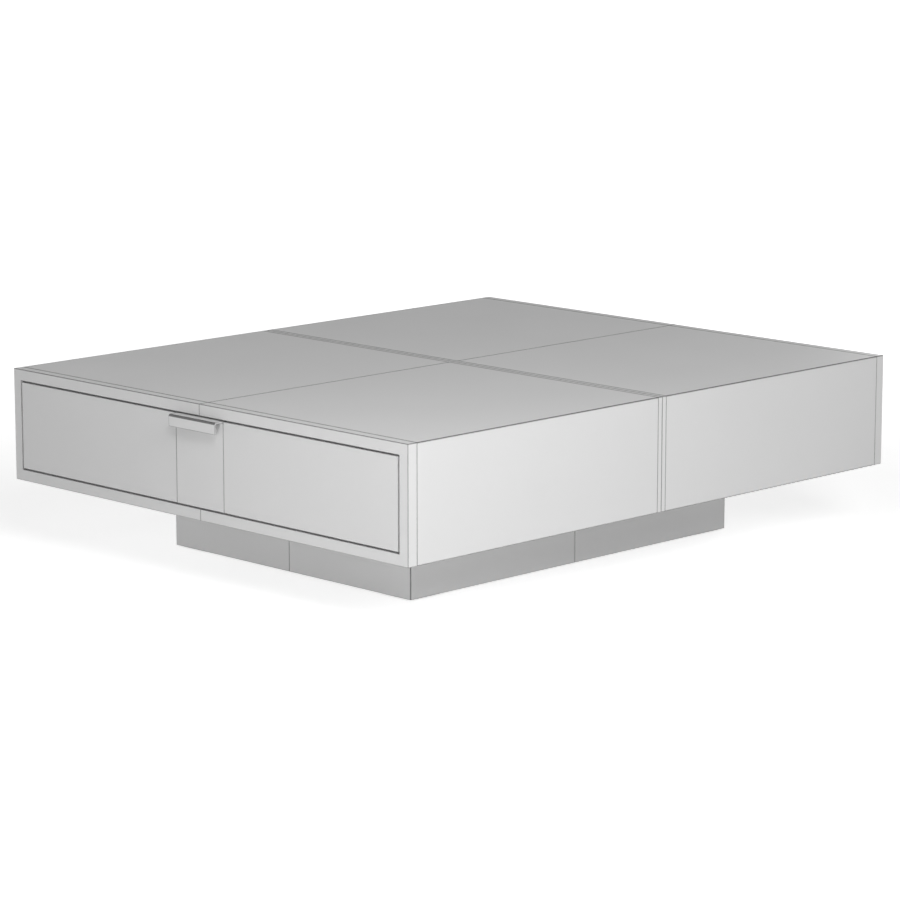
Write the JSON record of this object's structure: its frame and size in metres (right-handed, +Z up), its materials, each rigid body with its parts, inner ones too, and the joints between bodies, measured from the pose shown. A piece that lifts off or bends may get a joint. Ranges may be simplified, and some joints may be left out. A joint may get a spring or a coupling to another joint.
{
  "type": "coffee table",
  "caption": "Low rectangular coffee table with full-width inset drawers on telescopic runners at its ends, on a recessed plinth.",
  "frame": {"origin": "on the floor under the middle of the table", "axes": "+X along the drawer fronts, to the right as seen from the front drawer; -Y out of the front drawer, +Y out of the rear drawer; +Z up"},
  "size_m": [1, 1.235, 0.322],
  "materials": {
    "lacquer": "light grey satin lacquer over board",
    "plinth_lacquer": "light grey satin lacquer over board",
    "drawer_board": "pale grey matt board",
    "pull_lacquer": "light grey satin powder coat on an aluminium strip",
    "runner_steel": "zinc plated",
    "foot_plastic": "moulded, fine grained"
  },
  "bodies": {
    "case": {"front_frame_left": "lacquer", "front_top_left": "lacquer", "front_side_left": "lacquer", "front_runner_left_case_member": "runner_steel", "front_frame_right": "lacquer", "front_top_right": "lacquer", "front_side_right": "lacquer", "front_runner_right_case_member": "runner_steel", "front_bottom": "lacquer", "front_back": "lacquer", "rear_frame_left": "lacquer", "rear_top_left": "lacquer", "rear_side_left": "lacquer", "rear_runner_left_case_member": "runner_steel", "rear_frame_right": "lacquer", "rear_top_right": "lacquer", "rear_side_right": "lacquer", "rear_runner_right_case_member": "runner_steel", "rear_bottom": "lacquer", "rear_back": "lacquer", "plinth_front_left": "plinth_lacquer", "plinth_left_front": "plinth_lacquer", "plinth_foot_front_left": "foot_plastic", "plinth_front_right": "plinth_lacquer", "plinth_right_front": "plinth_lacquer", "plinth_foot_front_right": "foot_plastic", "plinth_rear_left": "plinth_lacquer", "plinth_left_rear": "plinth_lacquer", "plinth_foot_rear_left": "foot_plastic", "plinth_rear_right": "plinth_lacquer", "plinth_right_rear": "plinth_lacquer", "plinth_foot_rear_right": "foot_plastic", "plinth_stretcher_long": "plinth_lacquer", "plinth_stretcher_cross": "plinth_lacquer"},
    "front_drawer": {"front_drawer_front_left": "lacquer", "front_drawer_front_centre": "lacquer", "front_drawer_front_right": "lacquer", "front_pull": "pull_lacquer", "front_box_left": "drawer_board", "front_box_right": "drawer_board", "front_box_front": "drawer_board", "front_box_back": "drawer_board", "front_box_bottom": "drawer_board", "front_runner_left_drawer_member": "runner_steel", "front_runner_right_drawer_member": "runner_steel"},
    "rear_drawer": {"rear_drawer_front_left": "lacquer", "rear_drawer_front_centre": "lacquer", "rear_drawer_front_right": "lacquer", "rear_pull": "pull_lacquer", "rear_box_left": "drawer_board", "rear_box_right": "drawer_board", "rear_box_front": "drawer_board", "rear_box_back": "drawer_board", "rear_box_bottom": "drawer_board", "rear_runner_left_drawer_member": "runner_steel", "rear_runner_right_drawer_member": "runner_steel"},
    "front_stage_left": {"front_runner_left_middle_member": "runner_steel"},
    "front_stage_right": {"front_runner_right_middle_member": "runner_steel"},
    "rear_stage_left": {"rear_runner_left_middle_member": "runner_steel"},
    "rear_stage_right": {"rear_runner_right_middle_member": "runner_steel"}
  },
  "joints": [
    {"name": "front_drawer_slide", "type": "slide", "parent": "case", "child": "front_drawer", "axis": [0, -1, 0], "range_m": [0, 0.5]},
    {"name": "front_stage_left_slide", "type": "slide", "parent": "case", "child": "front_stage_left", "axis": [0, -1, 0], "range_m": [0, 0.25]},
    {"name": "front_stage_right_slide", "type": "slide", "parent": "case", "child": "front_stage_right", "axis": [0, -1, 0], "range_m": [0, 0.25]},
    {"name": "rear_drawer_slide", "type": "slide", "parent": "case", "child": "rear_drawer", "axis": [0, 1, 0], "range_m": [0, 0.5]},
    {"name": "rear_stage_left_slide", "type": "slide", "parent": "case", "child": "rear_stage_left", "axis": [0, 1, 0], "range_m": [0, 0.25]},
    {"name": "rear_stage_right_slide", "type": "slide", "parent": "case", "child": "rear_stage_right", "axis": [0, 1, 0], "range_m": [0, 0.25]}
  ],
  "couplings": [
    {"joint": "front_stage_left_slide", "follows": "front_drawer_slide", "ratio": 0.5},
    {"joint": "front_stage_right_slide", "follows": "front_drawer_slide", "ratio": 0.5},
    {"joint": "rear_stage_left_slide", "follows": "rear_drawer_slide", "ratio": 0.5},
    {"joint": "rear_stage_right_slide", "follows": "rear_drawer_slide", "ratio": 0.5}
  ]
}
